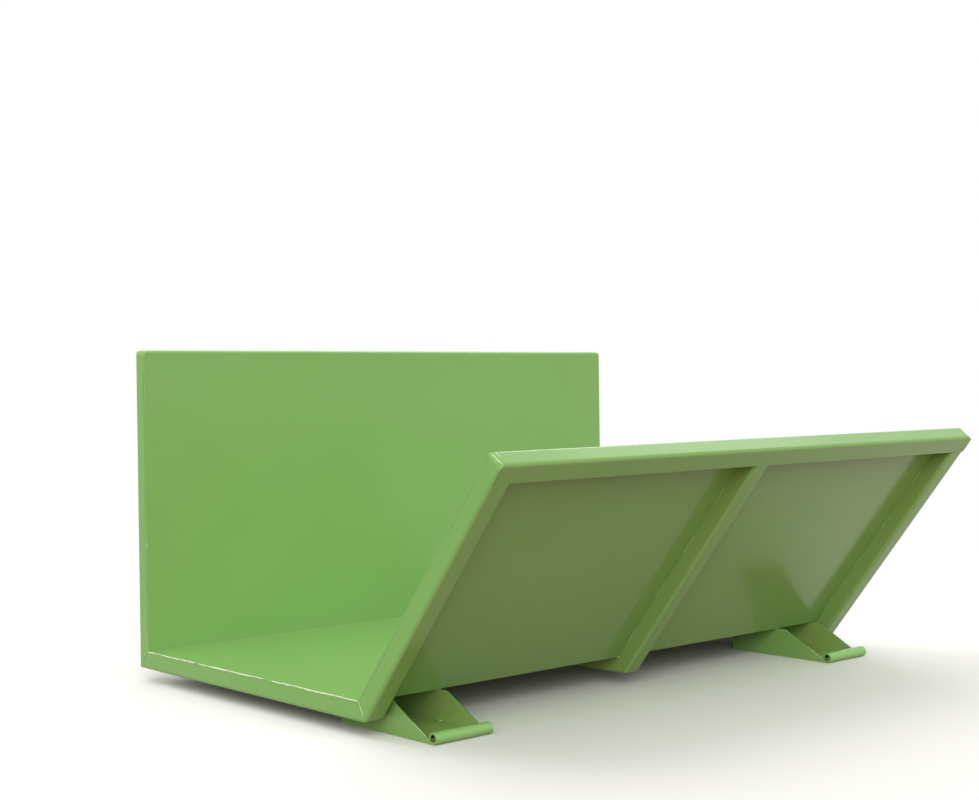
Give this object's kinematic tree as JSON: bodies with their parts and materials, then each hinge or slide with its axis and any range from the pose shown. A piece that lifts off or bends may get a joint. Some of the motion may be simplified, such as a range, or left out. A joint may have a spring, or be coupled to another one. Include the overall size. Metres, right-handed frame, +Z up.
{
  "type": "long goods tipper",
  "caption": "Folded steel trough, open at both ends, hinged on a base with fork pockets so that a fork truck can carry long goods and tip them out over its leaning front wall.",
  "frame": {"origin": "on the ground, midway along the trough and midway between the lip and the mouths of the fork pockets", "axes": "+X along the trough, +Y to its back wall and the fork pockets, +Z up; the front wall leans towards -Y"},
  "size_m": [1.6, 1.4972, 0.822],
  "materials": {
    "trough_paint": "glossy light green powder coat",
    "base_paint": "satin dark grey paint",
    "zinc_plate": "zinc plated",
    "bright_steel": "turned, oiled",
    "bronze": "machined",
    "rubber": "moulded, matt"
  },
  "bodies": {
    "base": {"fork_pocket_left": "base_paint", "fork_pocket_right": "base_paint", "pocket_end_plate_left": "base_paint", "pocket_end_plate_right": "base_paint", "bearing_plate_inner_left": "base_paint", "bearing_plate_inner_right": "base_paint", "bearing_plate_outer_left": "base_paint", "bearing_plate_outer_right": "base_paint", "hinge_pin_left": "zinc_plate", "hinge_pin_right": "zinc_plate", "hinge_cotter_left": "zinc_plate", "hinge_cotter_right": "zinc_plate", "buffer_left": "rubber", "buffer_right": "rubber", "front_crossbeam": "base_paint", "rear_crossbeam": "base_paint", "latch_bracket_left": "base_paint", "latch_bracket_right": "base_paint", "latch_pivot_pin": "zinc_plate", "lock_bracket": "base_paint", "clamp_nut_left": "zinc_plate", "clamp_nut_right": "zinc_plate"},
    "trough": {"back_wall": "trough_paint", "floor_sheet": "trough_paint", "front_wall": "trough_paint", "back_rib_left": "trough_paint", "back_rib_middle": "trough_paint", "back_rib_right": "trough_paint", "floor_rib_left": "trough_paint", "floor_rib_middle": "trough_paint", "floor_rib_right": "trough_paint", "front_rib_left": "trough_paint", "front_rib_middle": "trough_paint", "front_rib_right": "trough_paint", "lip_end_plate_left": "trough_paint", "lip_end_plate_right": "trough_paint", "foot_left": "trough_paint", "foot_right": "trough_paint", "hinge_lug_left": "trough_paint", "hinge_lug_right": "trough_paint", "hinge_bush_left": "bronze", "hinge_bush_right": "bronze", "catch_lug_left": "trough_paint", "catch_lug_right": "trough_paint", "catch_pin": "bright_steel"},
    "latch": {"latch_hook": "base_paint", "release_lever": "zinc_plate", "lever_grip": "rubber", "lever_bolt_lower": "zinc_plate", "lever_bolt_upper": "zinc_plate"},
    "lock": {"lock_pin": "zinc_plate"},
    "clamp_foot_left": {"clamp_pad_left": "bright_steel"},
    "clamp_foot_right": {"clamp_pad_right": "bright_steel"},
    "clamp_spindle_left": {"clamp_screw_left": "zinc_plate", "clamp_bar_left": "zinc_plate"},
    "clamp_spindle_right": {"clamp_screw_right": "zinc_plate", "clamp_bar_right": "zinc_plate"}
  },
  "joints": [
    {"name": "trough_tip", "type": "hinge", "parent": "base", "child": "trough", "pos_m": [0, 0.13062, 0.044], "axis": [1, 0, 0], "range_deg": [0, 75]},
    {"name": "latch_close", "type": "hinge", "parent": "base", "child": "latch", "pos_m": [0, 0.65662, 0.034], "axis": [1, 0, 0], "range_deg": [0, 24]},
    {"name": "lock_slide", "type": "slide", "parent": "base", "child": "lock", "axis": [-1, 0, 0], "range_m": [0, 0.012]},
    {"name": "clamp_feed_left", "type": "slide", "parent": "base", "child": "clamp_foot_left", "axis": [0, 0, -1], "range_m": [0, 0.028]},
    {"name": "clamp_feed_right", "type": "slide", "parent": "base", "child": "clamp_foot_right", "axis": [0, 0, -1], "range_m": [0, 0.028]},
    {"name": "clamp_turn_left", "type": "hinge", "parent": "clamp_foot_left", "child": "clamp_spindle_left", "pos_m": [-0.51, 0.71062, 0.05], "axis": [0, 0, -1], "range_deg": [0, 2525]},
    {"name": "clamp_turn_right", "type": "hinge", "parent": "clamp_foot_right", "child": "clamp_spindle_right", "pos_m": [0.51, 0.71062, 0.05], "axis": [0, 0, -1], "range_deg": [0, 2525]}
  ],
  "couplings": [
    {"joint": "clamp_turn_left", "follows": "clamp_feed_left", "rad_per_m": 1570.8},
    {"joint": "clamp_turn_right", "follows": "clamp_feed_right", "rad_per_m": 1570.8}
  ]
}
